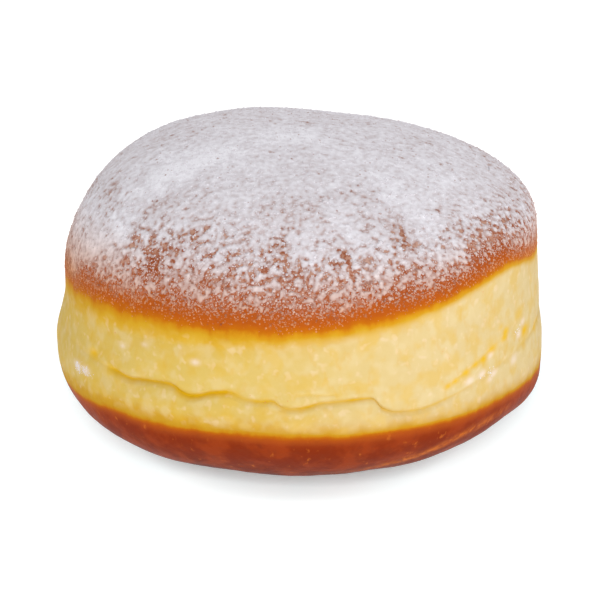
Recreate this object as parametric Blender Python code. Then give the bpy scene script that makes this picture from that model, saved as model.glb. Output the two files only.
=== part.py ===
"""A filled yeast doughnut, fried in oil on both sides, standing on its flatter side.

It is one solid: a domed upper side and a rounded underside, with a pale wall between them that
never touched the oil. A long stretch crease runs all round that wall, where the dough parted
into two soft lobes as it rose. Units are metres, +Z is up, and the origin is on the table under
the middle of the doughnut.
"""

import math

import bmesh
import bpy

MM = 0.001

# Overall size.
RADIUS = 43.0 * MM
CROWN_HEIGHT = 55.9 * MM
REST_DEPTH = 0.9 * MM          # how deep the round underside is pressed flat by the table

# Unevenness runs round the doughnut in waves. Each wave is its count in a full turn, its size,
# and the azimuth of one crest in degrees, counted from +X towards +Y.
OUTLINE_WAVES = ((2, 0.25 * MM, 0.0), (3, 0.35 * MM, 6.0), (4, 0.65 * MM, 25.0))
SHOULDER_OUTLINE = 0.6         # share of the outline's waves that is left at the shoulder

# The belly is the widest ring, and the shoulder is where the wall turns into the dome.
BELLY_HEIGHT = 16.5 * MM
BELLY_WAVES = ((1, 3.1 * MM, 188.0), (2, 1.3 * MM, 118.0))
SHOULDER_HEIGHT = 33.9 * MM
SHOULDER_WAVES = ((1, 5.2 * MM, 0.0), (2, 0.8 * MM, 0.0))
SHOULDER_INSET = 1.6 * MM      # how far the shoulder stands inside the belly

# Fullness is a superellipse exponent: 2 is an ellipse, more is boxier.
UNDERSIDE_FULLNESS = 2.19
UNDERSIDE_FULLNESS_WAVES = ((1, 0.18, 155.0),)
DOME_FULLNESS = 2.18
DOME_FULLNESS_WAVES = ((1, 0.22, 180.0), (2, 0.13, 0.0))

# The dome slopes a little down to +X.
DOME_SLOPE = -0.044

# The stretch crease: azimuth in degrees and height in millimetres of each turn of its path.
CREASE_PATH = (
    (-180, 23.7), (-150, 23.5), (-134, 23.0), (-126, 23.5), (-118, 22.3), (-108, 24.2),
    (-100, 23.1), (-92, 22.3), (-75, 23.7), (-69, 20.6), (-58, 20.5), (-44, 21.8),
    (-22, 22.8), (0, 22.8), (24, 23.4), (46, 22.0), (70, 23.2), (88, 22.4),
    (108, 23.9), (132, 22.7), (156, 24.2),
)
CREASE_DEPTH = 0.6 * MM
CREASE_HALF_WIDTH = 0.9 * MM
LOWER_LOBE_BULGE = 0.4 * MM
UPPER_LOBE_BULGE = 0.3 * MM

# Rings of the mesh, from the middle of the base to the top of the crown.
SEGMENTS = 96
UNDERSIDE_RINGS = 8
LOWER_LOBE_RINGS = 4
UPPER_LOBE_RINGS = 7
DOME_RINGS = 14


def catmull_rom(before, start, end, after, share):
    """Point at a share of the way from start to end, on a smooth curve through all four."""
    return 0.5 * (
        2.0 * start
        + (end - before) * share
        + (2.0 * before - 5.0 * start + 4.0 * end - after) * share ** 2
        + (3.0 * start - before - 3.0 * end + after) * share ** 3
    )


def crease_height(azimuth):
    """Height of the stretch crease at an azimuth in radians."""
    degrees = (math.degrees(azimuth) + 180.0) % 360.0 - 180.0
    count = len(CREASE_PATH)
    turn = max(index for index in range(count) if CREASE_PATH[index][0] <= degrees)
    start_azimuth = CREASE_PATH[turn][0]
    end_azimuth = CREASE_PATH[turn + 1][0] if turn + 1 < count else 180.0
    share = (degrees - start_azimuth) / (end_azimuth - start_azimuth)
    heights = [CREASE_PATH[(turn + step) % count][1] for step in (-1, 0, 1, 2)]
    return catmull_rom(*heights, share) * MM


def wave_sum(waves, azimuth):
    """Sum of waves at an azimuth in radians."""
    return sum(
        size * math.cos(count * (azimuth - math.radians(crest)))
        for count, size, crest in waves
    )


def smooth_step(share):
    return share * share * (3.0 - 2.0 * share)


def belly(azimuth):
    """Radius and height of the widest ring."""
    radius = RADIUS + wave_sum(OUTLINE_WAVES, azimuth)
    return radius, BELLY_HEIGHT + wave_sum(BELLY_WAVES, azimuth)


def shoulder(azimuth):
    """Radius and height of the ring where the wall turns into the dome."""
    outline = SHOULDER_OUTLINE * wave_sum(OUTLINE_WAVES, azimuth)
    radius = RADIUS - SHOULDER_INSET + outline
    return radius, SHOULDER_HEIGHT + wave_sum(SHOULDER_WAVES, azimuth)


def underside_point(azimuth, share):
    """Radius and height from the edge of the flat base, at share 0, up to the belly, at share 1."""
    belly_radius, belly_height = belly(azimuth)
    drop = belly_height + REST_DEPTH
    power = 2.0 / (UNDERSIDE_FULLNESS + wave_sum(UNDERSIDE_FULLNESS_WAVES, azimuth))
    base_turn = math.asin((belly_height / drop) ** (1.0 / power))
    turn = base_turn * (1.0 - share)
    radius = belly_radius * math.cos(turn) ** power
    return radius, belly_height - drop * math.sin(turn) ** power


def wall_point(azimuth, height):
    """Radius and height on the pale wall, with its two lobes and the crease between them."""
    belly_radius, belly_height = belly(azimuth)
    shoulder_radius, shoulder_height = shoulder(azimuth)
    crease = crease_height(azimuth)
    climb = (height - belly_height) / (shoulder_height - belly_height)
    radius = belly_radius + (shoulder_radius - belly_radius) * smooth_step(climb)
    if height < crease:
        lobe_share = (height - belly_height) / (crease - belly_height)
        radius += LOWER_LOBE_BULGE * math.sin(math.pi * lobe_share)
    else:
        lobe_share = (height - crease) / (shoulder_height - crease)
        radius += UPPER_LOBE_BULGE * math.sin(math.pi * lobe_share)
    furrow = max(0.0, 1.0 - abs(height - crease) / CREASE_HALF_WIDTH)
    return radius - CREASE_DEPTH * smooth_step(furrow), height


def dome_point(azimuth, share):
    """Radius and height from the shoulder, at share 0, up to the crown, at share 1."""
    shoulder_radius, shoulder_height = shoulder(azimuth)
    power = 2.0 / (DOME_FULLNESS + wave_sum(DOME_FULLNESS_WAVES, azimuth))
    turn = 0.5 * math.pi * share
    radius = shoulder_radius * max(0.0, math.cos(turn)) ** power
    rise = (CROWN_HEIGHT - shoulder_height) * math.sin(turn) ** power
    return radius, shoulder_height + rise


def wall_heights(azimuth):
    """Heights of the wall's rings, crowded round the crease, which one ring follows."""
    belly_height = belly(azimuth)[1]
    shoulder_height = shoulder(azimuth)[1]
    crease = crease_height(azimuth)
    lower_lip = crease - CREASE_HALF_WIDTH
    upper_lip = crease + CREASE_HALF_WIDTH
    heights = []
    for ring in range(1, LOWER_LOBE_RINGS):
        heights.append(belly_height + (lower_lip - belly_height) * ring / LOWER_LOBE_RINGS)
    heights += [lower_lip, crease, upper_lip]
    for ring in range(1, UPPER_LOBE_RINGS):
        heights.append(upper_lip + (shoulder_height - upper_lip) * ring / UPPER_LOBE_RINGS)
    return heights


def ring_points(azimuth):
    """Radius and height of every ring at one azimuth, from the middle of the base to the crown."""
    points = [(0.0, 0.0)]
    for ring in range(UNDERSIDE_RINGS):
        points.append(underside_point(azimuth, ring / UNDERSIDE_RINGS))
    points.append(belly(azimuth))
    points += [wall_point(azimuth, height) for height in wall_heights(azimuth)]
    for ring in range(DOME_RINGS + 1):
        points.append(dome_point(azimuth, ring / DOME_RINGS))
    return points


def sloped(x, y, z):
    """Slope the dome, more with height above the shoulder."""
    share = (z - SHOULDER_HEIGHT) / (CROWN_HEIGHT - SHOULDER_HEIGHT)
    return x, y, z + DOME_SLOPE * x * min(1.0, max(0.0, share))


def shape_sphere(mesh):
    """Move each vertex of a UV sphere from its ring and segment to its place on the doughnut."""
    rings = len(ring_points(0.0)) - 1
    bm = bmesh.new()
    bmesh.ops.create_uvsphere(bm, u_segments=SEGMENTS, v_segments=rings, radius=1.0)
    for vertex in bm.verts:
        height = min(1.0, max(-1.0, vertex.co.z))
        ring = round((0.5 + math.asin(height) / math.pi) * rings)
        azimuth = math.atan2(vertex.co.y, vertex.co.x)
        radius, z = ring_points(azimuth)[ring]
        vertex.co = sloped(radius * math.cos(azimuth), radius * math.sin(azimuth), z)
    bmesh.ops.recalc_face_normals(bm, faces=bm.faces)
    bm.to_mesh(mesh)
    bm.free()


def centre_on_box(mesh):
    """Move the shape sideways, so that the origin is under the middle of its box."""
    for axis in (0, 1):
        places = [vertex.co[axis] for vertex in mesh.vertices]
        middle = 0.5 * (min(places) + max(places))
        for vertex in mesh.vertices:
            vertex.co[axis] -= middle


def crust_material():
    """Golden brown fried crust."""
    material = bpy.data.materials.new("fried_crust")
    material.use_nodes = True
    shader = material.node_tree.nodes["Principled BSDF"]
    shader.inputs["Base Color"].default_value = (0.50, 0.24, 0.08, 1.0)
    shader.inputs["Roughness"].default_value = 0.55
    shader.inputs["Metallic"].default_value = 0.0
    return material


def clear_scene():
    for thing in list(bpy.data.objects):
        bpy.data.objects.remove(thing, do_unlink=True)


def make_doughnut():
    mesh = bpy.data.meshes.new("doughnut")
    shape_sphere(mesh)
    centre_on_box(mesh)
    mesh.shade_smooth()
    mesh.materials.append(crust_material())
    return bpy.data.objects.new("doughnut", mesh)


def main():
    clear_scene()
    collection = bpy.data.collections.new("jelly_filled_doughnut")
    bpy.context.scene.collection.children.link(collection)
    collection.objects.link(make_doughnut())


main()
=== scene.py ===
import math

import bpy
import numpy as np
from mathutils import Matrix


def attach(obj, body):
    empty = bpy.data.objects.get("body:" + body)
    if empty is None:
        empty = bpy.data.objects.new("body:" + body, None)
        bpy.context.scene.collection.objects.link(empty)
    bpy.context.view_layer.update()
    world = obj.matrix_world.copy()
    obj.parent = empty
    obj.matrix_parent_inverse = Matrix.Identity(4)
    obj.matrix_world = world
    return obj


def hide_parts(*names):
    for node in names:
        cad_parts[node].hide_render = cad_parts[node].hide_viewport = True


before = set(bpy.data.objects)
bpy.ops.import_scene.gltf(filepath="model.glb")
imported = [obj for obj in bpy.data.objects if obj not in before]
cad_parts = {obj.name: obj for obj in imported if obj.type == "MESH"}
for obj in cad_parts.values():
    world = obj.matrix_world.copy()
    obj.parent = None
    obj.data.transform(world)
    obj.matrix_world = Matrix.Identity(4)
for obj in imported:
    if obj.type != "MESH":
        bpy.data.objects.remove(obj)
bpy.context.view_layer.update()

# The looks of a jelly filled doughnut: its fried dough as one fine mesh with its own colours and
# some painted shade, and the icing sugar on it as four pieces of real mesh: a closed film, the lace
# below it, loose grains, and crumbs that stand on the film. Lengths are millimetres until a mesh is
# written. Azimuth 0 is +X and counts towards +Y, so the side that the camera sees is at -90
# degrees.

MM = 0.001
BODY = "root"
NODE = "doughnut"

# The form of the CAD solid, from the same values. A wave is its count in a turn, its size and a
# crest's azimuth, and a fullness is a superellipse's exponent.
RADIUS = 43.0
CROWN_HEIGHT = 55.9
REST_DEPTH = 0.9
OUTLINE_WAVES = ((2, 0.25, 0.0), (3, 0.35, 6.0), (4, 0.65, 25.0))
SHOULDER_OUTLINE = 0.6
BELLY_HEIGHT = 16.5
BELLY_WAVES = ((1, 3.1, 188.0), (2, 1.3, 118.0))
SHOULDER_HEIGHT = 33.9
SHOULDER_WAVES = ((1, 5.2, 0.0), (2, 0.8, 0.0))
SHOULDER_INSET = 1.6
UNDERSIDE_FULLNESS = 2.19
UNDERSIDE_FULLNESS_WAVES = ((1, 0.18, 155.0),)
DOME_FULLNESS = 2.18
DOME_FULLNESS_WAVES = ((1, 0.22, 180.0), (2, 0.13, 0.0))
DOME_SLOPE = -0.044
CAD_SEGMENTS = 96
CREASE_DEPTH = 0.6
CREASE_HALF_WIDTH = 0.9
LOWER_LOBE_BULGE = 0.4
UPPER_LOBE_BULGE = 0.3
# The crease's section: shares of its depth that are a wide dip and a fine slit.
DIP_SHARE = 0.7
SLIT_SHARE = 0.12
SLIT_HALF_WIDTH = 0.18

# The crease between the wall's two lobes, all round: the CAD's path with its small bends added.
CREASE_PATH = (
    (-180, 23.7), (-150, 23.5), (-137, 23.1), (-132, 22.7), (-129, 23.1), (-125.5, 23.4),
    (-121.5, 23.6), (-119.5, 23.3), (-118, 22.7), (-116, 22.3), (-113.5, 22.6), (-110.5, 23.4),
    (-106, 23.9), (-104, 23.5), (-102, 23.0), (-98.5, 22.9), (-95.8, 23.1), (-94.5, 22.4),
    (-92.5, 21.9), (-90, 22.0), (-87.5, 22.4), (-86, 22.8), (-80.5, 23.1), (-75, 23.3),
    (-73, 23.0), (-71.5, 21.4), (-68.5, 20.4), (-62, 20.0), (-56, 20.5), (-50, 21.1),
    (-44, 21.8), (-22, 22.8), (0, 22.8), (24, 23.4), (46, 22.0), (70, 23.2), (88, 22.4),
    (108, 23.9), (132, 22.7), (156, 24.2),
)
# How much of the crease there is all round: (azimuth, share).
CREASE_SHARES = (
    (-180, 0.1), (-150, 0.1), (-141, 0.2), (-137, 0.8), (-128, 1.0), (-107, 1.0), (-104, 0.6),
    (-98, 0.7), (-84, 0.9), (-66, 0.7), (-56, 0.5), (-48, 0.25), (-30, 0.2), (-10, 0.45),
    (15, 0.9), (60, 1.0), (85, 0.5), (105, 1.0), (140, 0.9), (162, 0.4), (180, 0.1),
)
# Its dark golden line, partly the dough's colour and partly painted shade, which comes and goes:
# (azimuth, strength, half width).
CREASE_TINT_AND_SHADE = (
    (-180, 0.2, 0.3), (-152, 0.15, 0.4), (-140, 0.2, 0.4), (-137, 0.85, 0.5), (-132, 0.9, 0.4),
    (-128, 0.85, 0.33), (-122, 0.85, 0.33), (-119.5, 0.95, 0.4), (-116, 1.0, 0.5),
    (-113, 1.0, 0.45), (-110, 1.0, 0.42), (-107, 1.0, 0.38), (-105, 0.5, 0.3), (-102.5, 0.4, 0.3),
    (-100, 0.8, 0.36), (-96, 0.85, 0.36), (-94, 0.6, 0.4), (-92, 0.6, 0.5), (-90, 0.8, 0.45),
    (-87.5, 0.95, 0.4), (-85.5, 0.6, 0.36), (-80, 0.65, 0.36), (-78, 1.0, 0.42), (-75.5, 0.8, 0.33),
    (-73, 0.7, 0.33), (-71.5, 0.75, 0.45), (-68, 0.5, 0.36), (-62, 0.45, 0.3), (-58, 0.6, 0.36),
    (-52, 0.35, 0.25), (-46, 0.2, 0.3), (-30, 0.15, 0.4), (-10, 0.4, 0.4), (15, 0.8, 0.4),
    (60, 0.9, 0.35), (85, 0.5, 0.3), (105, 0.9, 0.45), (140, 0.8, 0.4), (162, 0.4, 0.35),
    (180, 0.2, 0.3),
)

# Where the browned crusts end on the wall: (azimuth, height) all round.
TOP_CRUST_EDGE = (
    (-180, 30.4), (-160, 32.0), (-145, 33.0), (-125, 33.7), (-105, 34.2), (-90, 34.5),
    (-75, 35.5), (-60, 36.8), (-45, 38.2), (-33, 39.1), (-23, 37.8), (-10, 35.8), (5, 35.3),
    (25, 36.8), (50, 35.4), (75, 36.3), (100, 34.6), (125, 34.9), (150, 32.6),
)
LOW_CRUST_EDGE = (
    (-180, 13.2), (-164, 13.8), (-150, 14.9), (-137, 16.1), (-120, 16.5), (-100, 17.1),
    (-80, 17.1), (-62, 17.3), (-45, 16.5), (-30, 15.8), (-18, 14.8), (-5, 14.3),
    (20, 14.8), (50, 16.2), (80, 15.4), (110, 16.5), (140, 15.0), (160, 13.8),
)
# How fast the top crust browns past its edge: (azimuth, factor).
TOP_EDGE_STEEPNESS = (
    (-180, 1.0), (-150, 1.05), (-120, 1.15), (-90, 1.3), (-65, 1.45), (-50, 1.9), (-25, 2.1),
    (0, 1.6), (60, 1.45), (120, 1.15), (180, 1.0),
)
# How much faster the low crust browns for its first 2 mm, and how the edges waver: wavelength,
# size and seed.
LOW_EDGE_STEEPNESS = 2.0
EDGE_WAVER = ((6.0, 0.45, 11), (2.4, 0.4, 12))

# Small folds beside the main crease: their (azimuth, height) points, depth and half width.
SIDE_FOLDS = (
    (((-92, 24.3), (-88, 24.5), (-85.3, 24.4), (-80, 24.3)), 0.15, 0.4),
    (((-56, 22.6), (-47.5, 24.3), (-39, 25.8), (-33, 27.0)), 0.15, 0.6),
    (((28, 24.6), (38, 25.6), (52, 25.2)), 0.3, 0.6),
    (((92, 24.0), (103, 26.0), (118, 26.4), (128, 25.2)), 0.35, 0.7),
    (((160, 26.2), (172, 27.0), (179, 26.6)), 0.25, 0.6),
)
# Small golden tears: azimuth, height, size, strength.
TORN_MARKS = (
    (-145.3, 24.2, 1.4, 0.9), (-139.5, 22.5, 1.8, 0.35), (-135.0, 21.6, 1.5, 0.35),
    (-131.2, 22.0, 1.4, 0.35), (-54.4, 22.8, 0.9, 0.9), (-52.2, 23.2, 0.9, 0.9),
    (-48.6, 24.0, 1.0, 0.9), (-45.4, 24.7, 1.1, 0.9), (-42.2, 24.9, 1.2, 1.0),
    (-38.8, 25.8, 1.6, 0.85), (-33.2, 26.6, 1.3, 0.9), (-32.6, 27.4, 1.2, 0.9),
    (-34.7, 28.8, 1.0, 0.5), (-21.8, 24.8, 1.6, 1.0), (-12.5, 23.0, 1.6, 0.7),
    (-24.4, 28.4, 2.0, 0.4), (98, 25.4, 1.0, 0.8), (104, 26.0, 0.8, 0.9),
    (109, 26.4, 1.2, 0.7), (116, 26.2, 0.9, 0.9),
)
# Pale flecks where the dough's skin broke or sugar stuck, the same way.
PALE_FLECKS = (
    (-151.5, 20.4, 1.3, 1.0), (-147.5, 20.6, 1.2, 0.9), (-114.4, 28.5, 0.9, 0.8),
    (-135.0, 27.9, 0.7, 0.6), (-128.4, 29.4, 0.7, 0.5), (-39.4, 24.9, 0.8, 0.8),
    (-43.1, 22.4, 1.1, 0.9), (-38.4, 21.4, 0.9, 0.8), (-47.8, 22.3, 1.1, 0.8),
    (-40.3, 20.8, 1.0, 0.6), (-29.1, 21.4, 1.3, 0.6), (-25.3, 25.0, 1.0, 0.8),
    (-22.5, 26.6, 1.0, 0.7), (102, 25.0, 1.1, 0.8), (112, 25.2, 1.0, 0.7),
)
# A paler streak along the lower crust: azimuth, height, strength.
STREAK_HALF_WIDTH = 0.8
CRUST_STREAK = (
    (-90, 6.0, 0.0), (-74, 7.6, 0.4), (-67, 8.9, 0.8), (-61, 9.6, 1.0), (-55, 11.2, 0.9),
    (-49, 12.6, 1.0), (-42, 12.6, 0.8), (-35, 12.8, 0.6), (-28, 13.0, 0.0),
)
# Small pits in the wall: azimuth, height, size, depth.
PITS = ((-145.3, 24.2, 1.3, 0.3), (-27, 26.4, 0.8, 0.2), (62, 24.6, 1.1, 0.35))

# Wide soft hollows and swells of the whole form: azimuth, height, reach, offset.
SOFT_DENTS = (
    (175, 43.5, 7.0, -0.5), (178, 27.0, 3.5, -0.45), (-130, 4.5, 7.0, 0.25),
    (-165, 5.0, 7.0, 0.35), (-55, 3.5, 7.0, 0.45), (-12, 8.0, 6.0, 0.45),
)
# Lumps of the skin: wavelength, size and seed.
LUMPS = ((17.0, 0.30, 37), (6.5, 0.12, 2), (2.6, 0.045, 3))
# How much lower the dome lies under its sugar, and the heights where that starts and is full.
SUGAR_ROOM = 0.22
SUGAR_ROOM_HEIGHTS = (38.0, 48.0)

# The order of a four-sided cell's corners, as steps up and along.
CELL = ((0, 0), (0, 1), (1, 1), (1, 0))
# The dough's mesh.
SEGMENTS = 512
UNDERSIDE_RINGS = 30
LOWER_LOBE_RINGS = 24
FURROW_RINGS = 10
UPPER_LOBE_RINGS = 42
DOME_RINGS = 72

# Its texture map: the heights between which the two wall strips lie, and how the square is shared.
STRIP_HEIGHTS = (6.0, 42.0)
STRIP_SHARE = 0.285
MAP_GAP = 0.01
DISC_RADIUS = 0.195
DISC_MIDDLE = 0.795

# Icing sugar: the share of the crust that the film covers, by millimetres past the crust's edge.
COVER_DEPTHS = (0.0, 1.0, 2.4, 4.6, 7.5, 10.0, 13.0, 17.0, 24.0)
COVER_SHARES = (0.002, 0.01, 0.05, 0.22, 0.53, 0.66, 0.70, 0.88, 0.993)
# How much further down than that the sugar reaches, by azimuth.
SUGAR_REACH = (
    (-180, 3.2), (-165, 3.2), (-150, 1.6), (-125, 0.2), (-85, -0.3), (-60, -0.3), (-42, -1.7),
    (-25, -1.0), (-5, 1.0), (40, 2.2), (110, 2.8), (155, 3.0), (180, 3.2),
)
# Heaps and thin places of the film: azimuth, height, reach, and how much thicker.
SUGAR_SPOTS = (
    (-151, 52.4, 4.5, 1.6), (-144, 44.8, 3.0, 2.0), (-154, 41.0, 2.6, 1.8),
    (-146, 54.0, 3.5, 1.0), (-108, 50.2, 2.6, 0.9), (-42, 51.5, 5.0, 0.7),
    (-50, 47.6, 4.2, 1.4), (-77, 49.0, 2.8, 1.0), (-72, 46.6, 3.0, 1.0),
    (-87, 47.0, 2.4, 0.9), (-70, 43.6, 1.8, 0.9), (-27, 50.5, 4.5, 0.7),
    (-138, 50.0, 2.2, -0.6), (-140, 45.6, 1.8, -0.9), (-122, 48.2, 2.4, -1.0),
    (-130, 42.8, 2.2, -1.0), (-155, 47.0, 1.6, -0.4), (-94, 47.2, 2.0, -0.9),
    (-78, 46.2, 1.6, -1.2), (-59, 47.4, 1.6, -1.2), (-63, 51.3, 2.0, -0.5),
    (-46, 50.0, 1.6, -0.7), (-36, 45.4, 2.6, 0.5), (-20, 43.0, 3.0, -0.4),
    (-153, 35.8, 2.2, -1.6), (30, 44.5, 3.5, -1.2), (62, 48.5, 3.0, 1.2),
    (95, 45.5, 3.2, 1.3), (118, 47.5, 3.0, -1.2), (150, 43.0, 3.0, 1.2),
    (172, 44.0, 2.8, -1.1), (-166, 43.0, 5.0, 1.5), (-160, 38.0, 2.6, 1.6),
    (-150, 42.8, 3.8, 1.5), (-146, 49.0, 6.0, 1.0), (-124, 51.0, 5.0, 0.6),
)
# How ragged the film is: wavelength, seed, size, and what the lower dome and the crust's border
# add to that size, then the depths where these two are nothing and full.
FILM_GRAIN = (
    (0.95, 41, 0.7, 0.2, -0.3), (0.58, 42, 0.4, 0.3, 0.3), (1.7, 43, 0.25, 0.25, -0.2),
    (5.5, 44, 0.3, 0.0, 0.0),
)
LOWER_DOME = (19.0, 10.0)
CRUST_BORDER = (9.0, 4.0)
GRAIN_DEVIATION = 0.42
# The film ends at least this far inside the crust, and thickens from there at most so fast.
FILM_MARGIN = 0.8
MARGIN_STEEPNESS = 1.2
# How high the film stands over the crust for its amount, between two ends, and what heaps add past
# an amount, up to a limit, by the size of these lumps: wavelength, size and seed.
FILM_SLOPE = 0.13
FILM_ENDS = (-0.16, 0.07)
HEAP_SLOPE = 0.09
HEAP_START = 0.6
HEAP_LIMIT = 2.0
HEAP_LUMPS = ((0.8, 0.35, 47), (1.7, 0.3, 48))
# Places with less film than this are cut out of the mesh, and the rest dips under the crust.
FILM_CUT = -0.03
# The film's two pieces, by arc from the crown: the closed film on top and the lace below it.
FILM_REACH = 34.0
LACE_REACH = 57.0
# Steps of the film's net, and of the surface as it is read for the sugar.
FILM_CELL = 0.225
ARC_STEP = 0.25
# Scattering: how many places are tried at a time, their arcs from the crown and lowest height.
BATCH = 60000
SCATTER_ARCS = (0.5, 66.0)
SCATTER_FLOOR = 21.0
# Loose grains beside and on the film: how thick they lie by the same depths, as relative shares.
GRAIN_COUNT = 19500
GRAIN_DEPTHS = (-8.0, -3.0, -0.6, 0.6, 2.0, 4.5, 8.0, 12.0, 18.0)
GRAIN_SHARES = (0.002, 0.004, 0.01, 0.1, 1.2, 3.6, 2.8, 0.9, 0.1)
# A grain's middle radius, the spread of radii, and the least and the most as shares of it.
GRAIN_SIZE = (0.165, 0.4, 0.4, 2.0)
GRAIN_SINK = 0.1
GRAIN_FLATNESS = 0.45
# How much further down than that grains and crumbs reach, by azimuth.
GRAIN_REACH = (
    (-180, 1.2), (-150, 1.0), (-125, 0.2), (-85, 0.0), (-62, 0.3), (-45, 1.8), (-20, 2.0),
    (10, 1.2), (60, 0.8), (180, 1.2),
)
# Small heaps of grains on the wall: azimuth, height, reach, count.
GRAIN_HEAPS = (
    (-151, 20.2, 1.6, 110), (-147.5, 20.5, 1.6, 70), (-40, 22.0, 2.0, 25), (-26, 25.6, 1.8, 20),
    (75, 24.4, 2.4, 35), (140, 24.2, 2.0, 40),
)
# Depth that a heap's grains are coloured for: high on the dome, where no brown shines through.
HEAP_DEPTH = 30.0
# Crumbs standing on the film, the same way, and the share of them that are darker.
CRUMB_COUNT = 24500
CRUMB_DEPTHS = (3.0, 8.0, 14.0, 40.0)
CRUMB_SHARES = (0.0, 1.0, 2.2, 2.6)
CRUMB_SIZE = (0.24, 0.35, 0.5, 1.9)
CRUMB_SINK = 0.25
CRUMB_FLATNESS = 0.6
DARK_CRUMBS = 0.03

# The camera: degrees of elevation, then its distance, lens and target in millimetres.
CAMERA_ELEVATION = 22.5
CAMERA_DISTANCE = 516.0
CAMERA_LENS = 174.1
CAMERA_TARGET = (-0.25, -1.2, 24.5)

# Lamps for the doughnut and for the floor: name, azimuth, elevation, size in metres and watts.
FOOD_LAMPS = (
    ("key", -82.0, 39.0, 0.3, 3.05), ("side", -25.0, 25.0, 0.5, 1.3),
    ("back", 100.0, 20.0, 0.6, 2.5),
)
FLOOR_LAMPS = (
    ("floor_front", -90.0, 26.0, 0.3, 8.0), ("floor_left", -160.0, 32.0, 0.3, 3.3),
    ("floor_right", -20.0, 32.0, 0.3, 3.3),
)
# Every lamp's distance and the height that it looks at, in metres.
LAMP_DISTANCE = 0.9
LAMP_AIM_HEIGHT = 0.03
# The white surroundings, the floor's own faint glow, and its half width in millimetres.
WORLD_STRENGTH = 0.46
FLOOR_GLOW = 0.28
FLOOR_HALF_WIDTH = 4000.0


# ---- noise

def lattice_value(ix, iy, iz, seed):
    """A repeatable pseudo-random number from 0 to 1 for each whole-number place."""
    value = ix * 374761393 + iy * 668265263 + iz * 1442695041 + seed * 974711
    value = (value ^ (value >> 13)) & 0xFFFFFFFF
    value = (value * 1274126177) & 0xFFFFFFFF
    value = ((value ^ (value >> 15)) * 2246822519) & 0xFFFFFFFF
    return (value ^ (value >> 16)) / 4294967295.0


def noise(points, wavelength, seed):
    """Smooth gradient noise of about -1 to 1 at points of shape (..., 3)."""
    place = points / wavelength
    cell = np.floor(place).astype(np.int64)
    inside = place - cell
    ease = inside ** 3 * (inside * (inside * 6.0 - 15.0) + 10.0)
    total = np.zeros(place.shape[:-1])
    for corner in range(8):
        step = np.array([corner & 1, corner >> 1 & 1, corner >> 2 & 1])
        ix, iy, iz = np.moveaxis(cell + step, -1, 0)
        lift = 2.0 * lattice_value(ix, iy, iz, seed) - 1.0
        turn = 2.0 * math.pi * lattice_value(ix, iy, iz, seed + 101)
        flat = np.sqrt(1.0 - lift ** 2)
        gradient = np.stack([flat * np.cos(turn), flat * np.sin(turn), lift], -1)
        weight = np.prod(np.where(step == 1, ease, 1.0 - ease), -1)
        total += weight * np.sum(gradient * (inside - step), -1)
    return 1.7 * total


def noise_sum(points, layers):
    """Sum of noises, each given by its wavelength, size and seed."""
    return sum(size * noise(points, wavelength, seed) for wavelength, size, seed in layers)


def smooth_step(share):
    """An even climb from 0 to 1 with soft ends."""
    share = np.clip(share, 0.0, 1.0)
    return share * share * (3.0 - 2.0 * share)


def smooth_climb(value, start, end):
    """0 as far as start and 1 from end on, with soft ends; start may be the larger one."""
    return smooth_step((value - start) / (end - start))


# ---- form

def wave_sum(waves, azimuth):
    """Sum of waves (count in a turn, size, azimuth of a crest) at azimuths in radians."""
    return sum(
        size * np.cos(count * (azimuth - math.radians(crest)))
        for count, size, crest in waves
    )


def catmull_rom(before, start, end, after, share):
    """A smooth curve's value between start and end, which it passes through."""
    return 0.5 * (
        2.0 * start
        + (end - before) * share
        + (2.0 * before - 5.0 * start + 4.0 * end - after) * share ** 2
        + (3.0 * start - before - 3.0 * end + after) * share ** 3
    )


def wrapped_degrees(azimuth):
    return (np.degrees(azimuth) + 180.0) % 360.0 - 180.0


def columns_by_azimuth(table, azimuth):
    """Each column of a table beside its azimuths in degrees, at azimuths in radians."""
    places, *columns = zip(*table)
    return [np.interp(wrapped_degrees(azimuth), places, column) for column in columns]


def by_azimuth(table, azimuth):
    """Value of a table of (azimuth in degrees, value) at azimuths in radians."""
    return columns_by_azimuth(table, azimuth)[0]


def closed_curve(path, azimuth):
    """Height at an azimuth on a smooth closed curve through (azimuth, height) points."""
    degrees = wrapped_degrees(azimuth)
    places = np.array([place for place, _ in path] + [180.0])
    heights = np.array([height for _, height in path])
    count = len(heights)
    turn = np.clip(np.searchsorted(places, degrees, side="right") - 1, 0, count - 1)
    share = (degrees - places[turn]) / (places[turn + 1] - places[turn])
    around = [heights[(turn + step) % count] for step in (-1, 0, 1, 2)]
    return catmull_rom(*around, share)


def crease_height(azimuth):
    return closed_curve(CREASE_PATH, azimuth)


def belly(azimuth):
    """Radius and height of the widest ring."""
    radius = RADIUS + wave_sum(OUTLINE_WAVES, azimuth)
    return radius, BELLY_HEIGHT + wave_sum(BELLY_WAVES, azimuth)


def shoulder(azimuth):
    """Radius and height of the ring where the wall turns into the dome."""
    outline = SHOULDER_OUTLINE * wave_sum(OUTLINE_WAVES, azimuth)
    radius = RADIUS - SHOULDER_INSET + outline
    return radius, SHOULDER_HEIGHT + wave_sum(SHOULDER_WAVES, azimuth)


def underside_point(azimuth, share):
    """From the edge of the flat base, at share 0, up to the belly, at share 1."""
    belly_radius, belly_height = belly(azimuth)
    drop = belly_height + REST_DEPTH
    power = 2.0 / (UNDERSIDE_FULLNESS + wave_sum(UNDERSIDE_FULLNESS_WAVES, azimuth))
    base_turn = np.arcsin((belly_height / drop) ** (1.0 / power))
    turn = base_turn * (1.0 - share)
    return belly_radius * np.cos(turn) ** power, belly_height - drop * np.sin(turn) ** power


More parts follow.
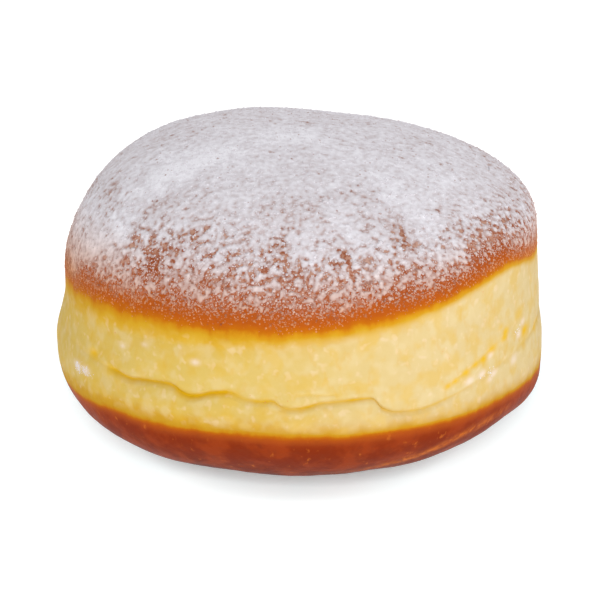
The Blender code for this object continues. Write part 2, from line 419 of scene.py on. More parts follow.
def wall_point(azimuth, height):
    """The wall with its two lobes and the crease between them, which is a slit in a soft dip."""
    belly_radius, belly_height = belly(azimuth)
    shoulder_radius, shoulder_height = shoulder(azimuth)
    crease = crease_height(azimuth)
    climb = smooth_climb(height, belly_height, shoulder_height)
    radius = belly_radius + (shoulder_radius - belly_radius) * climb
    below = np.clip((height - belly_height) / (crease - belly_height), 0.0, 1.0)
    above = np.clip((height - crease) / (shoulder_height - crease), 0.0, 1.0)
    share = by_azimuth(CREASE_SHARES, azimuth)
    radius = radius + LOWER_LOBE_BULGE * share * np.sin(math.pi * below)
    radius = radius + UPPER_LOBE_BULGE * share * np.sin(math.pi * above)
    dip = smooth_step(1.0 - np.abs(height - crease) / CREASE_HALF_WIDTH)
    slit = np.exp(-((height - crease) / SLIT_HALF_WIDTH) ** 2)
    return radius - CREASE_DEPTH * share * (DIP_SHARE * dip + SLIT_SHARE * share * slit), height


def dome_point(azimuth, share):
    """From the shoulder, at share 0, up to the crown, at share 1."""
    shoulder_radius, shoulder_height = shoulder(azimuth)
    power = 2.0 / (DOME_FULLNESS + wave_sum(DOME_FULLNESS_WAVES, azimuth))
    turn = 0.5 * math.pi * share
    radius = shoulder_radius * np.maximum(0.0, np.cos(turn)) ** power
    return radius, shoulder_height + (CROWN_HEIGHT - shoulder_height) * np.sin(turn) ** power


def ring_stations(azimuth):
    """Radius and height of each ring of the mesh, from the base's edge to the crown."""
    crease = crease_height(azimuth)
    levels = (
        belly(azimuth)[1], crease - CREASE_HALF_WIDTH, crease, crease + CREASE_HALF_WIDTH,
        shoulder(azimuth)[1],
    )
    counts = (LOWER_LOBE_RINGS, FURROW_RINGS, FURROW_RINGS, UPPER_LOBE_RINGS)
    shares = np.linspace(0.0, 1.0, UNDERSIDE_RINGS + 1)
    rings = [underside_point(azimuth, share) for share in shares]
    for low, high, count in zip(levels, levels[1:], counts):
        for share in np.linspace(0.0, 1.0, count + 1)[1:]:
            rings.append(wall_point(azimuth, low + (high - low) * share))
    shares = np.linspace(0.0, 1.0, DOME_RINGS + 1)[1:]
    return rings + [dome_point(azimuth, share) for share in shares]


def cad_shift():
    """How far the CAD solid was moved sideways, to put its origin under its box's middle."""
    azimuth = np.linspace(-math.pi, math.pi, CAD_SEGMENTS, endpoint=False)
    belly_height = belly(azimuth)[1]
    lobe_height = 0.5 * (belly_height + crease_height(azimuth))
    radius = np.maximum(
        wall_point(azimuth, lobe_height)[0], wall_point(azimuth, belly_height)[0]
    )
    x = radius * np.cos(azimuth)
    y = radius * np.sin(azimuth)
    return -0.5 * (x.min() + x.max()), -0.5 * (y.min() + y.max())


def form_grid():
    """Smooth form of the doughnut as a (ring, segment, 3) grid, in the CAD's place."""
    azimuth = np.linspace(-math.pi, math.pi, SEGMENTS, endpoint=False)
    radius, z = np.moveaxis(np.array(ring_stations(azimuth)), 1, 0)
    x = radius * np.cos(azimuth)
    y = radius * np.sin(azimuth)
    share = np.clip((z - SHOULDER_HEIGHT) / (CROWN_HEIGHT - SHOULDER_HEIGHT), 0.0, 1.0)
    z = z + DOME_SLOPE * x * share
    shift_x, shift_y = cad_shift()
    return azimuth, np.stack([x + shift_x, y + shift_y, z], -1)


def grid_normals(grid):
    """Unit normals of a (ring, segment, 3) grid that closes round its segments."""
    along = np.roll(grid, -1, 1) - np.roll(grid, 1, 1)
    up = np.gradient(grid, axis=0)
    normals = np.cross(along, up)
    length = np.linalg.norm(normals, axis=-1, keepdims=True)
    normals = normals / np.maximum(length, 1e-9)
    normals[-1] = (0.0, 0.0, 1.0)
    return normals


def fold_offset(azimuth, height, points):
    """Distance from an open fold's path and how much of the fold is left near its ends."""
    degrees = np.degrees(azimuth)
    places, heights = zip(*points)
    path = np.interp(degrees, places, heights)
    slope = np.gradient(path, axis=-1) / (math.radians(360.0 / SEGMENTS) * RADIUS)
    share = (degrees - places[0]) / (places[-1] - places[0])
    reach = smooth_step(4.0 * share) * smooth_step(4.0 * (1.0 - share))
    return (height - path) / np.sqrt(1.0 + slope ** 2), reach


def arc_gap(azimuth, degrees):
    """Signed distance round the wall from an azimuth in degrees, in millimetres."""
    turn = (azimuth - math.radians(degrees) + math.pi) % (2.0 * math.pi) - math.pi
    return turn * RADIUS


def spots(azimuth, height, rows, along=1.0, up=1.0, narrow=1.0):
    """One field for each row of azimuth, height, size and strength: a soft spot's strength."""
    for degrees, level, size, strength in rows:
        gap = np.hypot(along * arc_gap(azimuth, degrees), up * (height - level))
        yield strength * np.exp(-(gap / (narrow * size)) ** 2)


class Doughnut:
    """The finished surface of the dough, with the fields that its colours and sugar need."""

    def __init__(self):
        azimuth, smooth = form_grid()
        self.azimuth = np.broadcast_to(azimuth, smooth.shape[:2])
        height = smooth[..., 2]
        self.fold = self.fold_tint_and_shade_field(height)
        self.mark = self.spot_field(height, TORN_MARKS)
        self.fleck = self.spot_field(height, PALE_FLECKS)
        self.streak = self.streak_field(height)
        self.crust, self.is_top = self.crust_field(smooth)
        self.grid = smooth + self.unevenness(smooth, height)[..., None] * grid_normals(smooth)
        self.grid[..., 2] = np.maximum(self.grid[..., 2], 0.0)
        self.grid[0, :, 2] = 0.0
        self.grid[-1] = self.grid[-1].mean(0)
        self.normals = grid_normals(self.grid)
        self.smooth_height = height

    def fold_tint_and_shade_field(self, height):
        """How deep in a fold each place is, from 0 to 1: its share of golden tint and painted
        shade.
        """
        gap = height - crease_height(self.azimuth)
        strength, width = columns_by_azimuth(CREASE_TINT_AND_SHADE, self.azimuth)
        fold = strength * np.exp(-(gap / (1.15 * width)) ** 2)
        for points, _, half_width in SIDE_FOLDS:
            gap, reach = fold_offset(self.azimuth, height, points)
            fold = np.maximum(fold, 0.4 * reach * np.exp(-(gap / (0.5 * half_width)) ** 2))
        return fold

    def spot_field(self, height, rows):
        """How much of a small spot lies on each place of the wall, from 0 to 1."""
        return np.max(list(spots(self.azimuth, height, rows, along=0.6, narrow=0.6)), 0)

    def streak_field(self, height):
        """How much of the paler streak lies on each place of the lower crust, from 0 to 1."""
        level, strength = columns_by_azimuth(CRUST_STREAK, self.azimuth)
        return strength * np.exp(-((height - level) / STREAK_HALF_WIDTH) ** 2)

    def unevenness(self, points, height):
        """Offset along the normal: lumps, side folds, pits, soft dents and room for the sugar."""
        offset = noise_sum(points, LUMPS)
        for path, depth, half_width in SIDE_FOLDS:
            gap, reach = fold_offset(self.azimuth, height, path)
            offset -= depth * reach * np.exp(-(gap / (0.6 * half_width)) ** 2)
        offset -= sum(spots(self.azimuth, height, PITS, up=1.6))
        closer = np.hypot(points[..., 0], points[..., 1]) / RADIUS
        offset += sum(spots(self.azimuth, height, SOFT_DENTS, along=closer))
        offset -= SUGAR_ROOM * smooth_climb(height, *SUGAR_ROOM_HEIGHTS)
        return offset * smooth_step(height / 3.0)

    def crust_field(self, points):
        """Millimetres past the nearer crust's edge, negative on the wall, and if it is the top."""
        height = points[..., 2]
        top = height - closed_curve(TOP_CRUST_EDGE, self.azimuth)
        low = closed_curve(LOW_CRUST_EDGE, self.azimuth) - height
        low = low + LOW_EDGE_STEEPNESS * np.clip(low, -0.3, 2.0)
        steepness = by_azimuth(TOP_EDGE_STEEPNESS, self.azimuth)
        depth = np.maximum(steepness * top, low) + noise_sum(points, EDGE_WAVER)
        return depth, top > low


class Meridians:
    """The surface from the crown outwards, sampled at even steps of arc on every segment."""

    # What each column of a sample is.
    POINT = slice(0, 3)
    NORMAL = slice(3, 6)
    CRUST = 6
    HEIGHT = 7

    def __init__(self, surface):
        grid = surface.grid[::-1]
        steps = np.linalg.norm(np.diff(grid, axis=0), axis=-1)
        arcs = np.concatenate([np.zeros((1, SEGMENTS)), np.cumsum(steps, 0)])
        self.places = np.arange(0.0, arcs[-1].min(), ARC_STEP)
        fields = np.concatenate([
            grid, surface.normals[::-1], surface.crust[::-1, :, None],
            surface.smooth_height[::-1, :, None],
        ], -1)
        self.table = np.empty((len(self.places), SEGMENTS, fields.shape[-1]))
        for segment in range(SEGMENTS):
            for field in range(fields.shape[-1]):
                self.table[:, segment, field] = np.interp(
                    self.places, arcs[:, segment], fields[:, segment, field]
                )

    def at(self, azimuth, arc):
        """Point, normal, crust depth and height at azimuths in radians and arcs in mm."""
        row = np.clip(arc / ARC_STEP, 0.0, len(self.places) - 1.001)
        column = (azimuth + math.pi) / (2.0 * math.pi) * SEGMENTS
        low_row = np.floor(row).astype(int)
        low_column = np.floor(column).astype(int)
        up = (row - low_row)[..., None]
        along = (column - low_column)[..., None]
        value = sum(
            (up if above else 1.0 - up) * (along if after else 1.0 - along)
            * self.table[low_row + above, (low_column + after) % SEGMENTS]
            for above, after in CELL
        )
        normal = value[..., self.NORMAL]
        normal = normal / np.linalg.norm(normal, axis=-1, keepdims=True)
        return value[..., self.POINT], normal, value[..., self.CRUST], value[..., self.HEIGHT]


# ---- sugar

def normal_quantile(share):
    """How many deviations above the middle of a bell curve a share of it ends."""
    share = np.clip(share, 0.001, 0.999)
    tail = np.sqrt(-2.0 * np.log(np.minimum(share, 1.0 - share)))
    size = tail - (2.515517 + 0.802853 * tail + 0.010328 * tail ** 2) / (
        1.0 + 1.432788 * tail + 0.189269 * tail ** 2 + 0.001308 * tail ** 3
    )
    return np.where(share < 0.5, -size, size)


def sugar_supply(points, azimuth, crust):
    """How richly a place is sugared, in deviations; the film covers it above about 0."""
    depth = crust + by_azimuth(SUGAR_REACH, azimuth) + 0.9 * noise(points, 9.0, 31)
    supply = normal_quantile(np.interp(depth, COVER_DEPTHS, COVER_SHARES))
    radius = np.hypot(points[..., 0], points[..., 1])
    for degrees, level, size, strength in SUGAR_SPOTS:
        around = arc_gap(azimuth, degrees) * radius / RADIUS
        gap = np.hypot(around, 1.15 * (points[..., 2] - level))
        ragged = gap + 0.5 * size * noise(points, 2.6, 37)
        supply = supply + strength * np.exp(-(ragged / size) ** 2)
    return supply


def film_amount(points, azimuth, crust):
    """Where the film lies: above 0 there is sugar, and more of it higher up."""
    lower = smooth_climb(crust, *LOWER_DOME)
    border = smooth_climb(crust, *CRUST_BORDER)
    grain = 0.0
    for wavelength, seed, size, on_lower, on_border in FILM_GRAIN:
        grain += (size + on_lower * lower + on_border * border) * noise(points, wavelength, seed)
    amount = sugar_supply(points, azimuth, crust) + grain / GRAIN_DEVIATION
    return np.minimum(amount, MARGIN_STEEPNESS * (crust - FILM_MARGIN))


def film_thickness(points, amount):
    """Height of the film's top over the crust, below 0 where there is no film."""
    lump = 0.5 + noise_sum(points, HEAP_LUMPS)
    heap = HEAP_SLOPE * np.clip(amount - HEAP_START, 0.0, HEAP_LIMIT) * lump
    return np.clip(FILM_SLOPE * amount, *FILM_ENDS) + heap


def sheet_normals(points, near):
    """Unit normals of a square net's places, so that two pieces cut from it meet unseen."""
    sheet = np.zeros(near.shape + (3,))
    sheet[near] = points
    slopes = []
    for axis in (0, 1):
        before = np.where(np.roll(near, 1, axis)[..., None], np.roll(sheet, 1, axis), sheet)
        after = np.where(np.roll(near, -1, axis)[..., None], np.roll(sheet, -1, axis), sheet)
        slopes.append((after - before)[near])
    normals = np.cross(slopes[0], slopes[1])
    return normals / np.maximum(np.linalg.norm(normals, axis=-1, keepdims=True), 1e-9)


def make_film(name, meridians, inner, outer):
    """A ring of the film: a fine skin that dips under the crust wherever there is no sugar."""
    count = 2 * int(outer / FILM_CELL) + 3
    across = (np.arange(count) - 0.5 * (count - 1)) * FILM_CELL
    u, v = np.meshgrid(across, across, indexing="ij")
    arc = np.hypot(u, v)
    near = (arc > inner - 2.0 * FILM_CELL) & (arc < outer + 2.0 * FILM_CELL)
    azimuth = np.arctan2(v, u)[near]
    base, normal, crust, _ = meridians.at(azimuth, arc[near])
    amount = film_amount(base, azimuth, crust)
    thickness = film_thickness(base, amount)
    number = np.full(arc.shape, -1)
    number[near] = np.arange(len(base))
    shown = np.zeros(arc.shape, bool)
    shown[near] = thickness > FILM_CUT
    corners = [(slice(i, i + count - 1), slice(j, j + count - 1)) for j, i in CELL]
    keep = (arc[corners[0]] >= inner) & (arc[corners[0]] < outer)
    keep &= np.any([shown[corner] for corner in corners], axis=0)
    keep &= np.all([number[corner] >= 0 for corner in corners], axis=0)
    faces = two_triangles([number[corner][keep] for corner in corners])
    used, faces = np.unique(faces, return_inverse=True)
    faces = faces.reshape(-1, 3)
    points = base + thickness[:, None] * normal
    fields = {"amount": amount[used], "crust": crust[used]}
    film = mesh_object(name, points[used], faces, sugar_material(name), fields)
    film.data.normals_split_custom_set_from_vertices(sheet_normals(points, near)[used])
    plane = np.stack([u[near], v[near]], -1)[used] / (2.0 * outer + 6.0 * FILM_CELL) + 0.5
    add_map(film, plane[faces.ravel()])
    return film


def scatter(meridians, generator, count, depths, shares):
    """Random places, thick where shares says: their points, normals, azimuths and crust."""
    found = []
    total = 0
    while total < count:
        arc = generator.uniform(*SCATTER_ARCS, BATCH)
        azimuth = generator.uniform(-math.pi, math.pi, BATCH)
        point, normal, crust, height = meridians.at(azimuth, arc)
        reach = by_azimuth(GRAIN_REACH, azimuth) * smooth_step(crust / 1.5)
        depth = crust + reach + 1.2 * noise(point, 6.0, 53)
        share = np.interp(depth, depths, shares)
        share *= np.hypot(point[:, 0], point[:, 1]) / RADIUS
        kept = generator.uniform(0.0, max(shares), BATCH) < share
        kept &= height > SCATTER_FLOOR
        found.append((point[kept], normal[kept], azimuth[kept], crust[kept]))
        total += kept.sum()
    return [np.concatenate(batches)[:count] for batches in zip(*found)]


def specks(name, generator, place, normal, size, sink, flatness, amount, crust):
    """Small closed crumbs, each of eight faces, set into the surface at the given places."""
    count = len(place)
    first = np.cross(normal, generator.normal(size=(count, 3)))
    first /= np.linalg.norm(first, axis=-1, keepdims=True)
    second = np.cross(normal, first)
    corners = np.array([
        (1, 0, 0), (0, 1, 0), (-1, 0, 0), (0, -1, 0), (0, 0, 1), (0, 0, -1),
    ], float)
    triangles = np.array([
        (0, 1, 4), (1, 2, 4), (2, 3, 4), (3, 0, 4), (1, 0, 5), (2, 1, 5), (3, 2, 5), (0, 3, 5),
    ])
    shape = corners[None] * generator.uniform(0.65, 1.35, (count, 6, 1))
    shape = shape * size[:, None, None] * np.array([1.0, 1.0, flatness])
    points = (
        place[:, None] + shape[..., 0:1] * first[:, None]
        + shape[..., 1:2] * second[:, None]
        + (shape[..., 2:3] - (sink * size)[:, None, None]) * normal[:, None]
    )
    faces = triangles[None] + 6 * np.arange(count)[:, None, None]
    fields = {"amount": np.repeat(amount, 6), "crust": np.repeat(crust, 6)}
    thing = mesh_object(
        name, points.reshape(-1, 3), faces.reshape(-1, 3), sugar_material(name), fields
    )
    side = math.ceil(math.sqrt(count))
    cell = np.stack([np.arange(count) % side, np.arange(count) // side], -1)
    spread = 0.5 + 0.4 * corners[:, :2]
    add_map(thing, (cell[:, None, None] + spread[triangles]) / side)
    return thing


def speck_sizes(generator, count, radius, spread, least, most):
    """Radii close to a middle one, with a few that are much larger."""
    return radius * np.clip(np.exp(generator.normal(0.0, spread, count)), least, most)


def heap_places(meridians, generator, degrees, level, reach, count):
    """Places of a small heap's grains, close together at its middle."""
    turn = math.radians(degrees) + generator.normal(0.0, 0.5 * reach / RADIUS, count)
    turn = (turn + math.pi) % (2.0 * math.pi) - math.pi
    column = ((turn + math.pi) / (2.0 * math.pi) * SEGMENTS).astype(int) % SEGMENTS
    heights = level + generator.normal(0.0, 0.25 * reach, count)
    arcs = [
        np.interp(-height, -meridians.table[:, one, meridians.HEIGHT], meridians.places)
        for height, one in zip(heights, column)
    ]
    point, normal, crust, _ = meridians.at(turn, np.array(arcs))
    return point, normal, crust


def make_grains(meridians):
    """Loose grains of sugar beside the film and fewer down the wall."""
    generator = np.random.default_rng(17)
    place, normal, _, crust = scatter(
        meridians, generator, GRAIN_COUNT, GRAIN_DEPTHS, GRAIN_SHARES
    )
    heaps = [heap_places(meridians, generator, *heap) for heap in GRAIN_HEAPS]
    place, normal, crust = [
        np.concatenate([loose] + list(heaped))
        for loose, heaped in zip((place, normal, crust), zip(*heaps))
    ]
    count = len(place)
    size = speck_sizes(generator, count, *GRAIN_SIZE)
    # Grains are smaller low down, and whiter on the wall, by the crust's edge and high up.
    size *= np.interp(crust, (-3.0, 0.0, 4.0), (0.6, 0.75, 1.0))
    amount = generator.uniform(-0.6, 1.0, count)
    amount += generator.uniform(0.0, 1.0, count) * np.interp(crust, (2.0, 11.0), (0.6, 2.6))
    amount += np.interp(crust, (1.0, 4.0), (1.0, 0.0))
    amount = np.where(crust < 0.0, 3.0, amount)
    crust[GRAIN_COUNT:] = HEAP_DEPTH
    return specks(
        "sugar_grains", generator, place, normal, size, GRAIN_SINK, GRAIN_FLATNESS, amount, crust
    )


def make_crumbs(meridians):
    """Crumbs of sugar that stand on the film and make it look powdery."""
    generator = np.random.default_rng(29)
    place, normal, azimuth, crust = scatter(
        meridians, generator, CRUMB_COUNT, CRUMB_DEPTHS, CRUMB_SHARES
    )
    amount = film_amount(place, azimuth, crust)
    kept = amount > -0.1
    place, normal, crust, amount = place[kept], normal[kept], crust[kept], amount[kept]
    count = len(place)
    place = place + film_thickness(place, amount)[:, None] * normal
    size = speck_sizes(generator, count, *CRUMB_SIZE)
    tone = 0.6 * np.clip(amount, 0.0, 4.0) + generator.uniform(0.4, 1.8, count)
    dark = generator.uniform(size=count) < DARK_CRUMBS
    tone = np.where(dark, generator.uniform(0.0, 1.0, count), tone)
    return specks(
        "sugar_crumbs", generator, place, normal, size, CRUMB_SINK, CRUMB_FLATNESS, tone, crust
    )


# ---- meshes

def add_object(name, data):
    """A new object in the scene from a mesh, a light or a camera."""
    thing = bpy.data.objects.new(name, data)
    bpy.context.scene.collection.objects.link(thing)
    return thing


def mesh_object(name, points, faces, material, fields):
    """A smooth-shaded object from points in millimetres, with a float attribute per field."""
    mesh = bpy.data.meshes.new(name)
    flat = np.asarray(faces, np.int32)
    mesh.vertices.add(len(points))
    mesh.vertices.foreach_set("co", (np.asarray(points) * MM).astype(np.float32).ravel())
    mesh.loops.add(flat.size)
    mesh.loops.foreach_set("vertex_index", flat.ravel())
    mesh.polygons.add(len(flat))
    mesh.polygons.foreach_set("loop_start", np.arange(0, flat.size, flat.shape[1], dtype=np.int32))
    for field, values in fields.items():
        attribute = mesh.attributes.new(field, "FLOAT", "POINT")
        attribute.data.foreach_set("value", np.asarray(values, np.float32).ravel())
    mesh.update(calc_edges=True)
    mesh.validate()
    mesh.shade_smooth()
    mesh.materials.append(material)
    return add_object(name, mesh)


def add_map(thing, places):
    """A texture map for the piece from one (u, v) per face corner."""
    layer = thing.data.uv_layers.new(name="OFBake")
    layer.data.foreach_set("uv", np.asarray(places, np.float32).ravel())


def two_triangles(corners):
    """Both triangles of each four-sided cell, from its corners in order."""
    a, b, c, d = corners
    return np.concatenate([np.stack([a, b, c], 1), np.stack([a, c, d], 1)])


def grid_triangles(rings, segments):
    """Triangles between neighbouring rings of a grid that closes round its segments."""
    ring, segment = np.meshgrid(np.arange(rings - 1), np.arange(segments), indexing="ij")
    return two_triangles([
        ((ring + up) * segments + (segment + along) % segments).ravel() for up, along in CELL
    ])


def dough_map(grid):
    """Places on a square map: two strips for the wall's halves, a disc each for top and base."""
    rings, segments = grid.shape[:2]
    steps = np.linalg.norm(np.diff(grid, axis=0), axis=-1).mean(-1)
    rim = np.hypot(grid[0, :, 0], grid[0, :, 1]).mean()
    arc = rim + np.concatenate([[0.0], np.cumsum(steps)])
    low, high = np.searchsorted(grid[:, :, 2].mean(-1), STRIP_HEIGHTS)
    base_radius = DISC_RADIUS * arc / arc[low]
    top_radius = DISC_RADIUS * (arc[-1] - arc) / (arc[-1] - arc[high])
    base_middle = DISC_RADIUS + MAP_GAP
    top_middle = 1.0 - base_middle

    def disc(segment, middle, radius):
        turn = 2.0 * math.pi * segment / segments
        return np.stack([middle + radius * np.cos(turn), DISC_MIDDLE + radius * np.sin(turn)], -1)

    def strip(ring, segment, half):
        u = (segment - half * segments / 2) / (segments / 2)
        v = (arc[ring] - arc[low]) / (arc[high] - arc[low])
        return np.stack([u, STRIP_SHARE * v + half * (STRIP_SHARE + MAP_GAP)], -1)

    ring, segment = np.meshgrid(np.arange(rings - 2), np.arange(segments), indexing="ij")
    places = []
    for up, along in CELL:
        wall = strip(ring + up, segment + along, segment // (segments // 2))
        base = disc(segment + along, base_middle, base_radius[ring + up])
        top = disc(segment + along, top_middle, top_radius[ring + up])
        place = np.where((ring < low)[..., None], base, wall)
        places.append(np.where((ring >= high)[..., None], top, place).reshape(-1, 2))
    fans = []
    for middle, edge, order in ((top_middle, top_radius[rings - 2], (0, 1)),
                                (base_middle, base_radius[0], (1, 0))):
        fan = [disc(np.arange(segments) + along, middle, edge) for along in order]
        fans.append(np.stack(fan + [disc(np.arange(segments), middle, 0.0)], 1))
    return np.concatenate([two_triangles(places)] + fans)


def make_dough(surface):
    """The dough's mesh, closed at the crown and the base, with its fields and its map."""
    rings, segments = surface.grid.shape[:2]
    points = surface.grid[:-1].reshape(-1, 3)
    faces = grid_triangles(rings - 1, segments)
    crown = len(points)
    base = crown + 1
    last = (rings - 2) * segments
    segment = np.arange(segments)
    after = (segment + 1) % segments
    crown_fan = np.stack([last + segment, last + after, np.full(segments, crown)], -1)
    base_fan = np.stack([after, segment, np.full(segments, base)], -1)
    base_point = np.array([points[:segments, 0].mean(), points[:segments, 1].mean(), 0.0])
    points = np.concatenate([points, surface.grid[-1, :1], base_point[None]])
    faces = np.concatenate([faces, crown_fan, base_fan])
    supply = sugar_supply(surface.grid, surface.azimuth, surface.crust)
    dust = np.where(surface.is_top, np.clip(0.35 + 0.22 * supply, 0.0, 1.0), 0.0)
    grids = {
        "crust": surface.crust, "fold": surface.fold, "dust": dust,
        "mark": surface.mark, "fleck": surface.fleck, "streak": surface.streak,
    }
    fields = {
        name: np.concatenate([field[:-1].ravel(), [field[-1, 0], field[0, 0]]])
        for name, field in grids.items()
    }
    dough = mesh_object("fried_dough", points, faces, dough_material(), fields)
    add_map(dough, dough_map(surface.grid))
    return dough


# ---- materials

def srgb(*levels):
    """A linear colour from the usual 0 to 255 values."""
    def linear(level):
        level /= 255.0
        return level / 12.92 if level <= 0.04045 else ((level + 0.055) / 1.055) ** 2.4
    return *map(linear, levels), 1.0


class Shading:
    """Short calls for building a material's nodes."""

    def __init__(self, name):
        self.material = bpy.data.materials.new(name)
        self.material.use_nodes = True
        self.tree = self.material.node_tree
        self.shader = self.tree.nodes["Principled BSDF"]
        self.place = self.add("ShaderNodeTexCoord").outputs["Object"]

    def add(self, kind, **settings):
        node = self.tree.nodes.new(kind)
        for key, value in settings.items():
            setattr(node, key, value)
        return node

    def feed(self, socket, value):
        if isinstance(value, bpy.types.NodeSocket):
            self.tree.links.new(value, socket)
        else:
            socket.default_value = value

    def attribute(self, name):
        return self.add("ShaderNodeAttribute", attribute_name=name).outputs["Fac"]

    def noise(self, wavelength, detail=2.0, roughness=0.5, stretch=None):
        """Noise from 0 to 1 whose features are about wavelength millimetres apart."""
        node = self.add("ShaderNodeTexNoise")
        place = self.place
        if stretch:
            mapping = self.add("ShaderNodeMapping")
            mapping.inputs["Scale"].default_value = stretch
            self.feed(mapping.inputs["Vector"], place)
            place = mapping.outputs["Vector"]
        self.feed(node.inputs["Vector"], place)
        node.inputs["Scale"].default_value = 1.0 / (wavelength * MM)
        node.inputs["Detail"].default_value = detail
        node.inputs["Roughness"].default_value = roughness
        return node.outputs["Fac"]

    def math(self, operation, first, second, clamp=False):
        node = self.add("ShaderNodeMath", operation=operation, use_clamp=clamp)
        self.feed(node.inputs[0], first)
        self.feed(node.inputs[1], second)
        return node.outputs[0]

    def times(self, first, *others):
        """Product of the values."""
        for other in others:
            first = self.math("MULTIPLY", first, other)
        return first

    def spread(self, value, low, high, to_low=0.0, to_high=1.0):
        """value from low to high, mapped smoothly to to_low and to_high."""
        node = self.add("ShaderNodeMapRange", interpolation_type="SMOOTHSTEP")
        self.feed(node.inputs["Value"], value)
        node.inputs["From Min"].default_value = low
        node.inputs["From Max"].default_value = high
        node.inputs["To Min"].default_value = to_low
        node.inputs["To Max"].default_value = to_high
        return node.outputs["Result"]

    def ramp(self, value, stops):
        """The colour for a value, between stops of a value and its colour."""
        low, high = stops[0][0], stops[-1][0]
        node = self.add("ShaderNodeValToRGB")
        elements = node.color_ramp.elements
        while len(elements) < len(stops):
            elements.new(0.5)
        for element, (place, colour) in zip(elements, stops):
            element.position = (place - low) / (high - low)
            element.color = srgb(*colour)
        scaled = self.math("DIVIDE", self.math("SUBTRACT", value, low), high - low, clamp=True)
        self.feed(node.inputs["Fac"], scaled)
        return node.outputs["Color"]

    def mix(self, share, first, second, blend="MIX"):
        node = self.add("ShaderNodeMix", data_type="RGBA", blend_type=blend)
        self.feed(node.inputs["Factor"], share)
        self.feed(node.inputs["A"], first)
        self.feed(node.inputs["B"], second)
        return node.outputs["Result"]

    def tint(self, share, colour, target, blend="MIX"):
        """colour moved by a share towards a target of the usual 0 to 255 values."""
        return self.mix(share, colour, srgb(*target), blend)

    def patches(self, colour, where, rows):
        """colour tinted in soft patches, by rows of noise, its ends, strength and target."""
        for noise, low, high, strength, target in rows:
            share = self.times(self.spread(self.noise(*noise), low, high), where, strength)
            colour = self.tint(share, colour, target)
        return colour

    def bump(self, height, distance, strength, under=None):
        node = self.add("ShaderNodeBump")
        node.inputs["Distance"].default_value = distance * MM
        node.inputs["Strength"].default_value = strength
        self.feed(node.inputs["Height"], height)
        if under is not None:
            self.feed(node.inputs["Normal"], under)
        return node.outputs["Normal"]

    def finish(self, colour, roughness, normal, specular):
        self.feed(self.shader.inputs["Base Color"], colour)
        self.feed(self.shader.inputs["Roughness"], roughness)
        self.feed(self.shader.inputs["Normal"], normal)
        self.feed(self.shader.inputs["Specular IOR Level"], specular)
        return self.material


# The dough's colours by millimetres past the crust's edge.
CRUST_COLOURS = (
    (-6.0, (209, 179, 96)), (-3.4, (206, 171, 80)), (-2.2, (205, 160, 48)),
    (-1.1, (201, 154, 36)), (0.0, (197, 135, 22)), (0.9, (186, 102, 12)),
    (2.2, (177, 85, 20)), (5.0, (168, 80, 30)), (10.0, (148, 72, 38)), (16.0, (134, 70, 42)),
)
# Soft patches: noise (wavelength, detail, roughness, stretch), its ends, strength and colour.
WALL_PATCHES = (
    ((2.6, 1.5), 0.42, 0.66, 0.35, (218, 199, 154)),
    ((3.4, 2.0), 0.44, 0.66, 0.4, (212, 170, 52)),
    ((1.5, 2.0, 0.5, (1.0, 1.0, 0.6)), 0.56, 0.72, 0.2, (212, 160, 44)),
    ((1.4, 1.0), 0.58, 0.76, 0.25, (232, 208, 180)),
)
CRUST_PATCHES = (
    ((5.0, 3.0, 0.6), 0.42, 0.64, 0.3, (176, 74, 26)),
    ((2.6, 3.0, 0.7), 0.50, 0.70, 0.3, (118, 50, 26)),
)
SCUFFS = (((1.5, 3.0, 0.6, (1.0, 1.0, 0.5)), 0.62, 0.74, 0.45, (206, 112, 40)),)
# The dough's marks: attribute, strength and colour; the fold's dark gold is partly colour and
# partly painted shade.
MARK_COLOURS = (
    ("fold", 0.95, (208, 162, 6)), ("mark", 1.0, (222, 174, 24)), ("fleck", 0.8, (234, 216, 206)),
)
# The sugar's colours by its amount.
SUGAR_COLOURS = (
    (-0.6, (160, 124, 112)), (0.4, (192, 170, 168)), (1.4, (213, 205, 209)),
    (3.0, (228, 224, 230)), (5.0, (244, 242, 248)),
)
# The floor's base colour under the doughnut, painted cooler to cancel the doughnut's warm reflected
# light in its shadow, and further off, and where it changes, in metres.
FLOOR_NEAR_COOLED = (0.80, 0.91, 0.92, 1.0)
FLOOR_FAR = (0.87, 0.87, 0.87, 1.0)
FLOOR_CHANGE = (0.045, 0.075)


